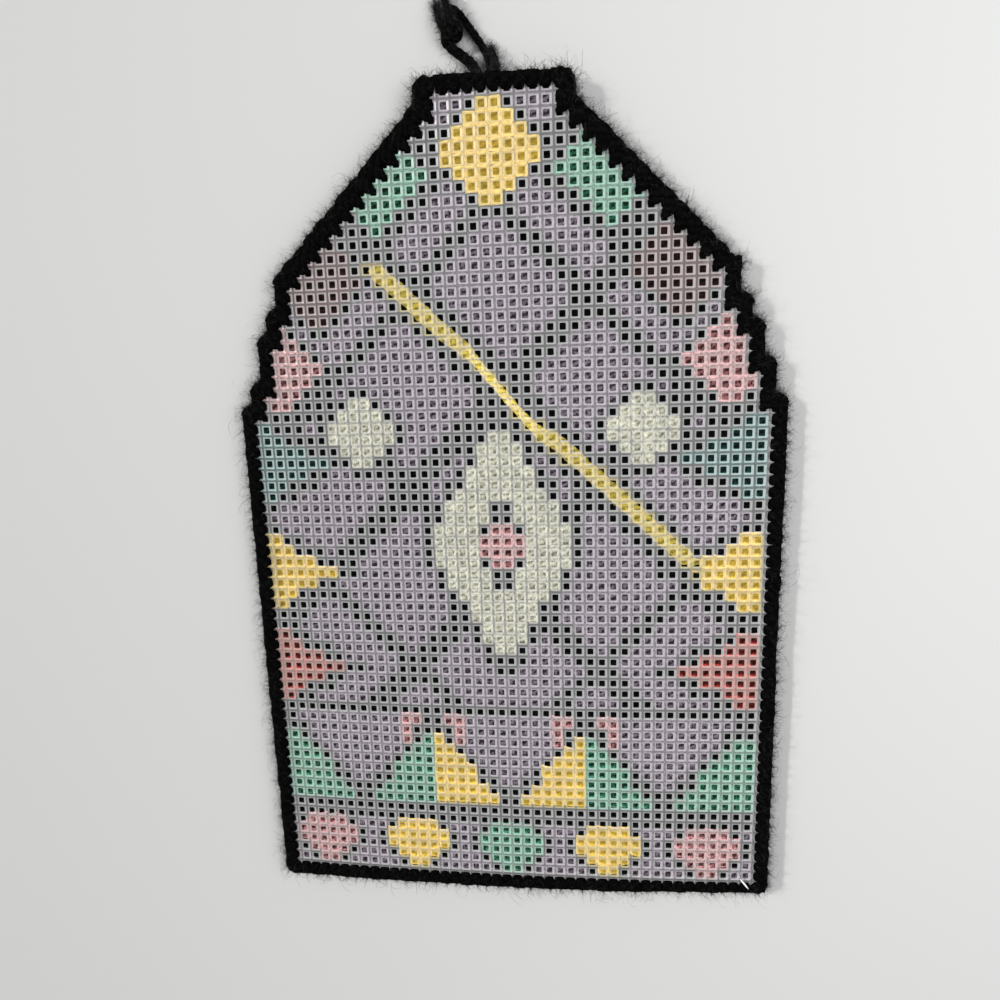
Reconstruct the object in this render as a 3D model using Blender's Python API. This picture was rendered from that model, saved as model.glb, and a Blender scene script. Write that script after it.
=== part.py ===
"""Needlepoint canvas panel: two sheets of plastic canvas cut to a stepped
arch, whipped together round the edge with yarn, with a yarn hanging loop at
the top.  Metres, +Z up.  The panel lies on its worked face, plain canvas up;
+Y runs to the loop.  The origin is on the surface, under the middle of the
panel."""
import bmesh
import bpy
from mathutils import Vector

MM = 0.001

# ---------------------------------------------------------------- sizes
PITCH = 3.81 * MM          # hole to hole of the canvas, 70 holes in 10.5 in
ROWS = 70                  # hole rows, top to bottom
BAR_OVER = 0.69            # canvas edge beyond its last hole's centre, pitches

# heights through the panel at its side edges
EDGE_BOTTOM = 0.0 * MM
LIP_LOW = 0.7 * MM         # yarn under the worked canvas
FRONT_LOW = 1.0 * MM       # worked canvas with its stitches
FRONT_HIGH = 3.7 * MM
BACK_LOW = 4.0 * MM        # plain canvas
BACK_HIGH = 5.2 * MM
LIP_HIGH = 5.5 * MM        # yarn over the plain canvas
EDGE_TOP = 6.3 * MM
EDGE_ROUND = 1.3 * MM      # rounding of the yarn round the edge
EDGE_WALL = 0.7 * MM       # yarn beyond the canvas edge, at its thinnest

# the panel is a little crowned across its width: its sides lie flat and
# its middle stands clear of the surface
CROWN_HEIGHT = 2.0 * MM
CROWN_HALF = 82.0 * MM
CROWN_LINES = [x * MM for x in (-82, -66, -48, -28, -9, 9, 28, 48, 66, 82)]

# runs of rows of one width: rows, holes left and right of the middle column
RUNS = (
    [{"rows": 2, "left": 5, "right": 5}]
    + [{"rows": 1, "left": n, "right": n} for n in range(6, 18)]
    + [
        {"rows": 3, "left": 18, "right": 18},
        {"rows": 2, "left": 19, "right": 19},
        {"rows": 3, "left": 20, "right": 20},
        {"rows": 1, "left": 20, "right": 21},
        {"rows": 2, "left": 21, "right": 21},
        {"rows": 45, "left": 22, "right": 22},
    ]
)

# corners of the yarn edging in pitches, top to bottom: its outside, and
# where it ends on the canvas.  "drop" lowers the left side's corner.
EDGING = [
    {"at": "top corner", "out": (6.05, 35.55), "in": (4.6, 34.1), "drop": 0},
    {"at": "slope start", "out": (6.05, 34.20), "in": (4.6, 32.4), "drop": 0},
    {"at": "slope end", "out": (19.05, 21.20), "in": (17.6, 19.4), "drop": 0},
    {"at": "step 1 top", "out": (19.05, 18.90), "in": (17.6, 17.2), "drop": 0},
    {"at": "step 1 foot", "out": (20.05, 18.30), "in": (18.6, 16.6), "drop": 0},
    {"at": "step 2 top", "out": (20.05, 16.90), "in": (18.6, 15.2), "drop": 0},
    {"at": "step 2 foot", "out": (21.05, 16.30), "in": (19.6, 14.6), "drop": 0},
    {"at": "step 3 top", "out": (21.05, 13.90), "in": (19.6, 12.2), "drop": 1},
    {"at": "step 3 foot", "out": (22.05, 13.30), "in": (20.6, 11.6), "drop": 1},
    {"at": "step 4 top", "out": (22.05, 10.90), "in": (20.6, 9.2), "drop": 0},
    {"at": "step 4 foot", "out": (23.05, 10.30), "in": (21.6, 8.6), "drop": 0},
    {"at": "bottom corner", "out": (23.05, -35.55), "in": (21.6, -34.1), "drop": 0},
]

# the hanging loop: one strand of yarn out of the top edge, round and back
# through its knot into the edge, the knot's two free ends, and the short end
# left beside the loop where the edging starts
YARN = 2.6 * MM
LOOP = [
    {"x": -1.4, "y": 136.1, "z": 4.6},
    {"x": -1.9, "y": 138.7, "z": 3.5},
    {"x": -2.9, "y": 142.0, "z": 2.1},
    {"x": -4.4, "y": 145.0, "z": 1.5},
    {"x": -6.2, "y": 147.9, "z": 1.4},
    {"x": -8.2, "y": 151.0, "z": 1.4},
    {"x": -10.5, "y": 153.8, "z": 1.6},
    {"x": -12.9, "y": 154.9, "z": 2.0},
    {"x": -14.6, "y": 153.6, "z": 2.4},
    {"x": -14.8, "y": 151.3, "z": 2.7},
    {"x": -14.0, "y": 148.9, "z": 2.6},
    {"x": -14.3, "y": 146.4, "z": 2.0},
    {"x": -12.4, "y": 144.2, "z": 1.5},
    {"x": -9.5, "y": 142.0, "z": 1.5},
    {"x": -6.7, "y": 139.3, "z": 2.8},
    {"x": -4.8, "y": 136.1, "z": 4.4},
]
KNOT = {"centre": (-12.1, 148.6, 2.9), "radii": (3.8, 3.9, 2.8)}
TAIL_1 = [
    {"x": -14.0, "y": 148.6, "z": 3.0},
    {"x": -15.6, "y": 151.2, "z": 2.0},
    {"x": -16.4, "y": 153.8, "z": 1.4},
    {"x": -16.8, "y": 156.3, "z": 1.3},
]
TAIL_2 = [
    {"x": -12.3, "y": 148.8, "z": 4.6},
    {"x": -12.8, "y": 152.6, "z": 5.0},
    {"x": -13.7, "y": 156.6, "z": 4.0},
    {"x": -14.2, "y": 160.4, "z": 2.2},
]
TAIL_3 = [
    {"x": 0.6, "y": 136.1, "z": 4.5},
    {"x": 0.6, "y": 138.8, "z": 3.2},
    {"x": 0.2, "y": 141.6, "z": 1.9},
    {"x": -0.3, "y": 144.0, "z": 1.5},
]

COLOURS = {
    "worked": (0.47, 0.43, 0.55, 1.0),
    "plastic": (0.80, 0.80, 0.80, 1.0),
    "black": (0.012, 0.012, 0.013, 1.0),
}


# ------------------------------------------------------------- helpers
def clear_scene():
    for obj in list(bpy.data.objects):
        bpy.data.objects.remove(obj, do_unlink=True)


def material(name, colour, roughness, metallic=0.0):
    mat = bpy.data.materials.new(name)
    mat.use_nodes = True
    bsdf = mat.node_tree.nodes["Principled BSDF"]
    bsdf.inputs["Base Color"].default_value = colour
    bsdf.inputs["Roughness"].default_value = roughness
    bsdf.inputs["Metallic"].default_value = metallic
    return mat


def put(name, mesh, mat, collection):
    mesh.name = name
    mesh.materials.clear()
    mesh.materials.append(mat)
    obj = bpy.data.objects.new(name, mesh)
    collection.objects.link(obj)
    return obj


def crown(x):
    """Height of the crown at x, straight between the crown lines."""
    lines = [-1.0] + CROWN_LINES + [1.0]
    rise = [max(0.0, CROWN_HEIGHT * (1.0 - (a / CROWN_HALF) ** 2)) for a in lines]
    for a, b, ra, rb in zip(lines, lines[1:], rise, rise[1:]):
        if a <= x <= b:
            return ra + (rb - ra) * (x - a) / (b - a)
    return 0.0


def crowned(bm):
    """Cut the mesh along the crown lines and lift it onto the crown."""
    for x in CROWN_LINES:
        bmesh.ops.bisect_plane(
            bm, geom=bm.verts[:] + bm.edges[:] + bm.faces[:], dist=1e-7,
            plane_co=(x, 0.0, 0.0), plane_no=(1.0, 0.0, 0.0))
    for v in bm.verts:
        v.co.z += crown(v.co.x)
    bmesh.ops.triangulate(bm, faces=bm.faces[:])


def canvas_outline():
    """Stepped outline of a cut sheet, from the runs of rows."""
    def side(key, sign):
        points = []
        row = 0
        for run in RUNS:
            x = sign * (run[key] + BAR_OVER) * PITCH
            top = ((ROWS - 1) / 2.0 - row + BAR_OVER) * PITCH
            if points and abs(points[-1][0] - x) < 1e-9:
                row += run["rows"]
                continue
            if points:
                points.append((points[-1][0], top))
            points.append((x, top))
            row += run["rows"]
        bottom = -((ROWS - 1) / 2.0 + BAR_OVER) * PITCH
        points.append((points[-1][0], bottom))
        return points
    right = side("right", 1.0)
    left = side("left", -1.0)
    return right + left[::-1]


def edging_outline(key):
    right = [(c[key][0] * PITCH, c[key][1] * PITCH) for c in EDGING]
    left = [(-c[key][0] * PITCH, (c[key][1] - c["drop"]) * PITCH) for c in EDGING]
    return right + left[::-1]


def inset(points, d):
    """Outline moved inwards by d, corners mitred.  It runs clockwise."""
    out = []
    n = len(points)
    for k in range(n):
        a, b, c = (Vector(points[(k + s) % n]) for s in (-1, 0, 1))
        u, v = (b - a).normalized(), (c - b).normalized()
        nu, nv = Vector((u.y, -u.x)), Vector((v.y, -v.x))
        m = nu + nv
        out.append(tuple(b + m * (d / m.dot(nu))))
    return out


def sheet(name, low, high, mat, collection):
    """A flat outline as a filled curve, made a mesh and crowned."""
    curve = bpy.data.curves.new(name + "_outline", "CURVE")
    curve.dimensions = "2D"
    curve.fill_mode = "BOTH"
    curve.extrude = (high - low) / 2.0
    spline = curve.splines.new("POLY")
    points = canvas_outline()
    spline.points.add(len(points) - 1)
    for p, (x, y) in zip(spline.points, points):
        p.co = (x, y, 0.0, 1.0)
    spline.use_cyclic_u = True
    bm = mesh_of_curve(curve, collection)
    bmesh.ops.translate(bm, verts=bm.verts[:], vec=(0, 0, (low + high) / 2.0))
    crowned(bm)
    bmesh.ops.recalc_face_normals(bm, faces=bm.faces[:])
    mesh = bpy.data.meshes.new(name)
    bm.to_mesh(mesh)
    bm.free()
    return put(name, mesh, mat, collection)


def mesh_of_curve(curve, collection):
    obj = bpy.data.objects.new("outline", curve)
    collection.objects.link(obj)
    bpy.context.view_layer.update()
    graph = bpy.context.evaluated_depsgraph_get()
    mesh = bpy.data.meshes.new_from_object(obj.evaluated_get(graph))
    bpy.data.objects.remove(obj, do_unlink=True)
    bm = bmesh.new()
    bm.from_mesh(mesh)
    bpy.data.meshes.remove(mesh)
    bmesh.ops.remove_doubles(bm, verts=bm.verts[:], dist=1e-6)
    return bm


def edging(name, mat, collection):
    """A channel of yarn round the edge, lofted between its outlines."""
    out = edging_outline("out")
    lip = edging_outline("in")
    rounded = inset(out, EDGE_ROUND)
    wall = inset(out, EDGE_WALL)
    loops = [
        (out, EDGE_BOTTOM + EDGE_ROUND),
        (rounded, EDGE_BOTTOM),
        (lip, EDGE_BOTTOM),
        (lip, LIP_LOW),
        (wall, LIP_LOW),
        (wall, LIP_HIGH),
        (lip, LIP_HIGH),
        (lip, EDGE_TOP),
        (rounded, EDGE_TOP),
        (out, EDGE_TOP - EDGE_ROUND),
    ]
    bm = bmesh.new()
    rings = [[bm.verts.new((x, y, z)) for x, y in pts] for pts, z in loops]
    n = len(out)
    for a, b in zip(rings, rings[1:] + rings[:1]):
        for k in range(n):
            m = (k + 1) % n
            bm.faces.new((a[k], a[m], b[m], b[k]))
    bmesh.ops.recalc_face_normals(bm, faces=bm.faces[:])
    crowned(bm)
    bmesh.ops.recalc_face_normals(bm, faces=bm.faces[:])
    mesh = bpy.data.meshes.new(name)
    bm.to_mesh(mesh)
    bm.free()
    return put(name, mesh, mat, collection)


def smooth_points(rows, spacing):
    """Points a spacing apart on a smooth curve through the rows' points."""
    p = [Vector((r["x"], r["y"], r["z"])) * MM for r in rows]
    p = [p[0] * 2 - p[1]] + p + [p[-1] * 2 - p[-2]]
    fine = []
    for a, b, c, d in zip(p, p[1:], p[2:], p[3:]):
        for k in range(24):
            t = k / 24.0
            fine.append(0.5 * ((2 * b) + (c - a) * t + (2 * a - 5 * b + 4 * c - d) * t * t
                               + (3 * b - a - 3 * c + d) * t ** 3))
    fine.append(p[-2])
    length = sum((b - a).length for a, b in zip(fine, fine[1:]))
    count = max(2, round(length / spacing))
    step, run, out = length / count, 0.0, [fine[0]]
    for a, b in zip(fine, fine[1:]):
        piece = (b - a).length
        while run + piece >= step * len(out) and len(out) < count:
            out.append(a.lerp(b, (step * len(out) - run) / piece))
        run += piece
    out.append(fine[-1])
    return out


def strand(name, rows, thickness, collection):
    curve = bpy.data.curves.new(name, "CURVE")
    curve.dimensions = "3D"
    curve.bevel_depth = thickness / 2.0
    curve.bevel_resolution = 2
    curve.use_fill_caps = True
    points = smooth_points(rows, thickness)
    spline = curve.splines.new("POLY")
    spline.points.add(len(points) - 1)
    for q, p in zip(spline.points, points):
        q.co = (p.x, p.y, p.z, 1.0)
    bm = mesh_of_curve(curve, collection)
    bmesh.ops.recalc_face_normals(bm, faces=bm.faces[:])
    mesh = bpy.data.meshes.new(name)
    bm.to_mesh(mesh)
    bm.free()
    return mesh


def hanging_loop(name, mat, collection, guides):
    loop = put(name, strand(name, LOOP, YARN, collection), mat, collection)
    bm = bmesh.new()
    bmesh.ops.create_uvsphere(bm, u_segments=14, v_segments=9, radius=1.0)
    for v in bm.verts:
        v.co = Vector([c * MM + k * r * MM for c, k, r
                       in zip(KNOT["centre"], v.co, KNOT["radii"])])
    knot = bpy.data.meshes.new(name + "_knot")
    bm.to_mesh(knot)
    bm.free()
    added = [put(name + "_knot", knot, mat, guides)]
    for tag, rows in (("_end_1", TAIL_1), ("_end_2", TAIL_2), ("_end_3", TAIL_3)):
        added.append(put(name + tag, strand(name + tag, rows, YARN * 0.9, collection),
                         mat, guides))
    for piece in added:
        piece.hide_render = True
        piece.display_type = "WIRE"
        join = loop.modifiers.new("join " + piece.name, "BOOLEAN")
        join.operation = "UNION"
        join.solver = "EXACT"
        join.object = piece
    return loop


# ---------------------------------------------------------------- build
def main():
    clear_scene()
    scene = bpy.context.scene
    parts = bpy.data.collections.new("needlepoint_canvas_panel")
    guides = bpy.data.collections.new("guides")
    scene.collection.children.link(parts)
    scene.collection.children.link(guides)

    worked = material("worked_canvas", COLOURS["worked"], 0.85)
    plastic = material("plain_canvas", COLOURS["plastic"], 0.35)
    black = material("black_yarn", COLOURS["black"], 0.9)

    sheet("worked_canvas", FRONT_LOW, FRONT_HIGH, worked, parts)
    sheet("plain_canvas", BACK_LOW, BACK_HIGH, plastic, parts)
    edging("yarn_edging", black, parts)
    hanging_loop("hanging_loop", black, parts, guides)


main()
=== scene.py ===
"""Needlepoint canvas panel, looks.  Two sheets of 7-mesh plastic canvas cut to
a stepped arch: the lower one worked in tent stitch, the upper one plain and
see-through, whipped together round the edge with black yarn, with a knotted
yarn loop at the top.  Metres, +Z up; the plain canvas faces up."""
import math

import bpy
import numpy as np
from mathutils import Matrix, Vector


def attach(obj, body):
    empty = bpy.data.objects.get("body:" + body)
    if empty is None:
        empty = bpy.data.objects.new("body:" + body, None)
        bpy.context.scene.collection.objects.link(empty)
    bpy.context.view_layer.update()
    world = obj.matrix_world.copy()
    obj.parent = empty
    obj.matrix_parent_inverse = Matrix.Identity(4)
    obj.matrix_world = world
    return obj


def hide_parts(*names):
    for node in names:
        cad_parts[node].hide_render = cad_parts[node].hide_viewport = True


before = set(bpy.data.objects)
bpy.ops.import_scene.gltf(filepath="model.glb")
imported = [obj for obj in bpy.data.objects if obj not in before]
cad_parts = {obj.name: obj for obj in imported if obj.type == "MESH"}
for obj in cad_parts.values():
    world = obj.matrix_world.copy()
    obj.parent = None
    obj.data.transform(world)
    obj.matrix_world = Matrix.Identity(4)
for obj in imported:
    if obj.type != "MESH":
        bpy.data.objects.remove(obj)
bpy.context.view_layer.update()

MM = 0.001
PITCH = 3.81 * MM
ROWS = 70
BAR_OVER = 0.69
CROWN_HEIGHT = 2.0 * MM
CROWN_HALF = 82.0 * MM
YARN = 2.6 * MM

RUNS = (
    [{"rows": 2, "left": 5, "right": 5}]
    + [{"rows": 1, "left": n, "right": n} for n in range(6, 18)]
    + [
        {"rows": 3, "left": 18, "right": 18},
        {"rows": 2, "left": 19, "right": 19},
        {"rows": 3, "left": 20, "right": 20},
        {"rows": 1, "left": 20, "right": 21},
        {"rows": 2, "left": 21, "right": 21},
        {"rows": 45, "left": 22, "right": 22},
    ]
)

LOOP = [
    {"x": -1.0, "y": 136.1, "z": 4.6},
    {"x": -1.3, "y": 138.7, "z": 3.5},
    {"x": -2.3, "y": 142.0, "z": 2.1},
    {"x": -3.9, "y": 145.0, "z": 1.5},
    {"x": -5.9, "y": 147.9, "z": 1.4},
    {"x": -8.2, "y": 151.0, "z": 1.4},
    {"x": -10.5, "y": 153.8, "z": 1.6},
    {"x": -12.9, "y": 154.9, "z": 2.0},
    {"x": -14.6, "y": 153.6, "z": 2.4},
    {"x": -14.8, "y": 151.3, "z": 2.7},
    {"x": -14.0, "y": 148.9, "z": 2.6},
    {"x": -14.3, "y": 146.4, "z": 2.0},
    {"x": -12.4, "y": 144.2, "z": 1.5},
    {"x": -9.5, "y": 142.0, "z": 1.5},
    {"x": -6.7, "y": 139.3, "z": 2.8},
    {"x": -4.8, "y": 136.1, "z": 4.4},
]
KNOT = {"centre": (-12.4, 148.4, 2.9), "radii": (3.4, 3.5, 2.8)}
TAIL_1 = [
    {"x": -14.0, "y": 148.6, "z": 3.0},
    {"x": -15.6, "y": 151.2, "z": 2.0},
    {"x": -16.4, "y": 153.8, "z": 1.4},
    {"x": -16.8, "y": 156.3, "z": 1.3},
]
TAIL_2 = [
    {"x": -12.3, "y": 148.8, "z": 4.6},
    {"x": -12.8, "y": 152.6, "z": 5.0},
    {"x": -13.7, "y": 156.6, "z": 4.0},
    {"x": -14.2, "y": 160.4, "z": 2.2},
]
TAIL_3 = [
    {"x": 0.8, "y": 136.1, "z": 4.5},
    {"x": 0.6, "y": 138.8, "z": 3.4},
    {"x": -0.1, "y": 141.2, "z": 2.4},
    {"x": -0.9, "y": 143.2, "z": 2.0},
]

rng = np.random.RandomState(7)


# ------------------------------------------------------------------ helpers
def crown(x):
    return CROWN_HEIGHT * np.maximum(0.0, 1.0 - (x / CROWN_HALF) ** 2)


def hole_rows():
    """Holes left and right of the middle column, for each row from the top."""
    rows = []
    for run in RUNS:
        rows += [(run["left"], run["right"])] * run["rows"]
    return rows


HOLE_ROWS = hole_rows()


def has_hole(i, row):
    if not 0 <= row < ROWS:
        return False
    left, right = HOLE_ROWS[row]
    return -left <= i <= right


def row_y(row):
    """Height up the panel of a row, in pitches."""
    return (ROWS - 1) / 2.0 - row


class Mesh:
    """Collects vertices and faces in bulk and makes one object of them."""

    def __init__(self):
        self.co, self.uv, self.tone_and_shade = [], [], []
        self.corners, self.sizes, self.slots = [], [], []
        self.n = 0

    def vertices(self, co, uv=None, tone_and_shade=1.0):
        co = np.asarray(co, float).reshape(-1, 3)
        base = self.n
        self.co.append(co)
        self.uv.append(np.zeros((len(co), 2)) if uv is None
                       else np.asarray(uv, float).reshape(-1, 2))
        self.tone_and_shade.append(np.broadcast_to(np.asarray(tone_and_shade, float), (len(co),)).copy()
                         if np.ndim(tone_and_shade) < 2 else np.asarray(tone_and_shade, float).ravel())
        self.n += len(co)
        return base

    def faces(self, corners, slot=0):
        corners = np.asarray(corners, np.int64)
        self.corners.append(corners.ravel())
        self.sizes.append(np.full(len(corners), corners.shape[1], np.int64))
        self.slots.append(np.broadcast_to(slot, (len(corners),)).astype(np.int64))

    def build(self, name, materials, smooth=True):
        co = np.concatenate(self.co)
        uv = np.concatenate(self.uv)
        corners = np.concatenate(self.corners)
        sizes = np.concatenate(self.sizes)
        mesh = bpy.data.meshes.new(name)
        mesh.vertices.add(len(co))
        mesh.vertices.foreach_set("co", co.astype(np.float32).ravel())
        mesh.loops.add(len(corners))
        mesh.loops.foreach_set("vertex_index", corners.astype(np.int32))
        mesh.polygons.add(len(sizes))
        starts = np.concatenate([[0], np.cumsum(sizes)[:-1]])
        mesh.polygons.foreach_set("loop_start", starts.astype(np.int32))
        for m in materials:
            mesh.materials.append(m)
        mesh.polygons.foreach_set("material_index",
                                  np.concatenate(self.slots).astype(np.int32))
        mesh.update(calc_edges=True)
        layer = mesh.uv_layers.new(name="strand")
        layer.data.foreach_set("uv", uv[corners].astype(np.float32).ravel())
        # per-vertex brightness: random tone of each strand times the painted shade in the
        # holes and painted light and shade under the bars
        shade = mesh.attributes.new("tone_and_shade", "FLOAT", "POINT")
        shade.data.foreach_set("value", np.concatenate(self.tone_and_shade).astype(np.float32))
        mesh.validate()
        if smooth:
            mesh.shade_smooth()
        else:
            mesh.shade_flat()
        obj = bpy.data.objects.new(name, mesh)
        bpy.context.scene.collection.objects.link(obj)
        return obj


def unit(v):
    return v / np.maximum(np.linalg.norm(v, axis=-1, keepdims=True), 1e-12)


def add_tubes(mesh, path, half_width, half_thick, lateral, sides, closed=False,
              plies=0, ply_depth=0.0, turns=0.0, tone_and_shade=None, phase=None, power=1.0,
              shade=1.0, ring=None, rise=0.0):
    """Many tubes at once.  path is (tubes, points, 3); lateral is the
    direction of the width at each point.  A power under 1 squares the rings;
    ring gives its points in halves of width and thickness instead, and rise
    lifts them."""
    path = np.asarray(path, float)
    n, m = path.shape[:2]
    if closed:
        along = np.roll(path, -1, 1) - np.roll(path, 1, 1)
    else:
        along = np.gradient(path, axis=1)
    along = unit(along)
    lateral = np.broadcast_to(lateral, path.shape)
    lateral = unit(lateral - (lateral * along).sum(-1, keepdims=True) * along)
    normal = np.cross(along, lateral)
    hw = np.broadcast_to(half_width, (n, m))[..., None]
    ht = np.broadcast_to(half_thick, (n, m))[..., None]
    angle = np.arange(sides) * 2 * math.pi / sides
    run = np.linspace(0, 1, m + 1)[:-1] if closed else np.linspace(0, 1, m)
    scale = np.ones((n, m, sides))
    if plies:
        start = np.zeros(n) if phase is None else phase
        scale = 1.0 + ply_depth * np.cos(
            plies * (angle[None, None, :] - turns * 2 * math.pi * run[None, :, None]
                     - start[:, None, None]))
    if ring is None:
        ring = np.stack([np.cos(angle), np.sin(angle)], -1)
        power = np.broadcast_to(power, (n,))[:, None, None, None]
        ring = np.sign(ring) * np.abs(ring) ** power
    c = ring[..., 0] * scale * hw
    s = ring[..., 1] * scale * ht + rise
    co = path[:, :, None, :] + c[..., None] * lateral[:, :, None, :] \
        + s[..., None] * normal[:, :, None, :]
    uv = np.zeros((n, m, sides, 2))
    step = np.linalg.norm(np.diff(path, axis=1), axis=-1)
    dist = np.concatenate([np.zeros((n, 1)), np.cumsum(step, 1)], 1)
    uv[..., 0] = dist[:, :, None] / YARN + rng.uniform(0, 40, (n, 1, 1))
    uv[..., 1] = np.abs(np.arange(sides) / sides * 2 - 1)[None, None, :]
    tone_and_shade = np.ones(n) if tone_and_shade is None else np.asarray(tone_and_shade, float)
    shade = np.broadcast_to(tone_and_shade[:, None, None] * shade, (n, m, sides))
    base = mesh.vertices(co, uv, shade.ravel())
    index = base + np.arange(n * m * sides).reshape(n, m, sides)
    a = index if closed else index[:, :-1]
    b = np.roll(index, -1, 1) if closed else index[:, 1:]
    quads = np.stack([a, np.roll(a, -1, 2), np.roll(b, -1, 2), b], -1)
    mesh.faces(quads.reshape(-1, 4))
    if not closed:
        mesh.faces(index[:, 0, ::-1])
        mesh.faces(index[:, -1, :])
    return co


def smooth_points(rows, spacing):
    """Points a spacing apart on a smooth curve through the rows' points."""
    p = [Vector((r["x"], r["y"], r["z"])) * MM for r in rows]
    p = [p[0] * 2 - p[1]] + p + [p[-1] * 2 - p[-2]]
    fine = []
    for a, b, c, d in zip(p, p[1:], p[2:], p[3:]):
        for k in range(24):
            t = k / 24.0
            fine.append(0.5 * ((2 * b) + (c - a) * t + (2 * a - 5 * b + 4 * c - d) * t * t
                               + (3 * b - a - 3 * c + d) * t ** 3))
    fine.append(p[-2])
    length = sum((b - a).length for a, b in zip(fine, fine[1:]))
    count = max(2, round(length / spacing))
    step, run, out = length / count, 0.0, [fine[0]]
    for a, b in zip(fine, fine[1:]):
        piece = (b - a).length
        while run + piece >= step * len(out) and len(out) < count:
            out.append(a.lerp(b, (step * len(out) - run) / piece))
        run += piece
    out.append(fine[-1])
    return np.array([tuple(q) for q in out]), length


def frame_along(points):
    """A lateral direction at each point that turns as little as it can."""
    along = unit(np.gradient(points, axis=0))
    out = [unit(np.cross(along[0], [0.0, 0.0, 1.0]))]
    for a in along[1:]:
        v = out[-1] - a * np.dot(out[-1], a)
        out.append(unit(v))
    return np.array(out)


# ---------------------------------------------------------------- materials
def nodes_of(mat):
    mat.use_nodes = True
    tree = mat.node_tree
    return tree, tree.nodes["Principled BSDF"]


def add_node(tree, kind, **values):
    node = tree.nodes.new(kind)
    for key, value in values.items():
        if key in node.bl_rna.properties:
            setattr(node, key, value)
        else:
            node.inputs[key.replace("_", " ")].default_value = value
    return node


def yarn_material(name, colour, sheen=0.25, bump=0.5, shine=0.12, soft=0.14):
    """Acrylic yarn: twisted plies along the strand, loose fibres over them.
    A low soft makes it more mottled."""
    mat = bpy.data.materials.new(name)
    tree, bsdf = nodes_of(mat)
    link = tree.links.new
    bsdf.inputs["Roughness"].default_value = 0.92
    bsdf.inputs["Specular IOR Level"].default_value = shine
    bsdf.inputs["Sheen Weight"].default_value = sheen
    bsdf.inputs["Sheen Roughness"].default_value = 0.45
    uv = add_node(tree, "ShaderNodeUVMap", uv_map="strand")
    split = add_node(tree, "ShaderNodeSeparateXYZ")
    link(uv.outputs["UV"], split.inputs["Vector"])
    across = add_node(tree, "ShaderNodeMath", operation="MULTIPLY")
    across.inputs[1].default_value = 1.4
    link(split.outputs["Y"], across.inputs[0])
    added = add_node(tree, "ShaderNodeMath", operation="ADD")
    link(split.outputs["X"], added.inputs[0])
    link(across.outputs[0], added.inputs[1])
    turned = add_node(tree, "ShaderNodeMath", operation="MULTIPLY")
    turned.inputs[1].default_value = 2 * math.pi * 1.1
    link(added.outputs[0], turned.inputs[0])
    plies = add_node(tree, "ShaderNodeMath", operation="SINE")
    link(turned.outputs[0], plies.inputs[0])
    # long streaks of fibres along the strand
    drawn = add_node(tree, "ShaderNodeMapping")
    drawn.inputs["Scale"].default_value = (1.5, 7.0, 1.0)
    link(uv.outputs["UV"], drawn.inputs["Vector"])
    streaks = add_node(tree, "ShaderNodeTexNoise", Scale=1.0, Detail=3.0, Roughness=0.6)
    link(drawn.outputs["Vector"], streaks.inputs["Vector"])
    coords = add_node(tree, "ShaderNodeTexCoord")
    fibres = add_node(tree, "ShaderNodeTexNoise", Scale=2600.0, Detail=3.0,
                      Roughness=0.65)
    link(coords.outputs["Object"], fibres.inputs["Vector"])
    clumps = add_node(tree, "ShaderNodeTexNoise", Scale=1150.0, Detail=3.0,
                      Roughness=0.6)
    link(coords.outputs["Object"], clumps.inputs["Vector"])
    height = add_node(tree, "ShaderNodeMath", operation="MULTIPLY_ADD")
    height.inputs[1].default_value = 0.22
    link(plies.outputs[0], height.inputs[0])
    link(fibres.outputs["Fac"], height.inputs[2])
    bumps = add_node(tree, "ShaderNodeBump", Strength=bump, Distance=0.0006)
    link(height.outputs[0], bumps.inputs["Height"])
    link(bumps.outputs["Normal"], bsdf.inputs["Normal"])
    part = add_node(tree, "ShaderNodeMath", operation="MULTIPLY")
    part.inputs[1].default_value = 0.45
    link(clumps.outputs["Fac"], part.inputs[0])
    both = add_node(tree, "ShaderNodeMath", operation="MULTIPLY_ADD")
    both.inputs[1].default_value = 0.55
    link(streaks.outputs["Fac"], both.inputs[0])
    link(part.outputs[0], both.inputs[2])
    mixed = add_node(tree, "ShaderNodeMath", operation="MULTIPLY_ADD",
                     use_clamp=True)
    mixed.inputs[1].default_value = 0.07
    link(plies.outputs[0], mixed.inputs[0])
    link(both.outputs[0], mixed.inputs[2])
    ramp = add_node(tree, "ShaderNodeValToRGB")
    ramp.color_ramp.elements[0].position = 0.5 - soft
    ramp.color_ramp.elements[1].position = 0.5 + soft
    high = min(1.60 if soft > 0.1 else 1.80, 1.0 / max(colour))
    ramp.color_ramp.elements[0].color = (*[c * (2.0 - high) for c in colour], 1.0)
    ramp.color_ramp.elements[1].color = (*[c * high for c in colour], 1.0)
    link(mixed.outputs[0], ramp.inputs["Fac"])
    # multiplies in the random tone and the painted shade in the holes and painted light and
    # shade under the bars
    tone_and_shade = add_node(tree, "ShaderNodeAttribute", attribute_name="tone_and_shade")
    shade = add_node(tree, "ShaderNodeVectorMath", operation="SCALE")
    link(ramp.outputs["Color"], shade.inputs[0])
    link(tone_and_shade.outputs["Fac"], shade.inputs["Scale"])
    link(shade.outputs["Vector"], bsdf.inputs["Base Color"])
    return mat


def plastic_material(name, colour, opacity, roughness=0.26):
    """Clear moulded canvas: a thin milky film over what lies under it."""
    mat = bpy.data.materials.new(name)
    _, bsdf = nodes_of(mat)
    bsdf.inputs["Base Color"].default_value = (*colour, 1.0)
    bsdf.inputs["Roughness"].default_value = roughness
    bsdf.inputs["IOR"].default_value = 1.45
    bsdf.inputs["Alpha"].default_value = opacity
    return mat


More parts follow.
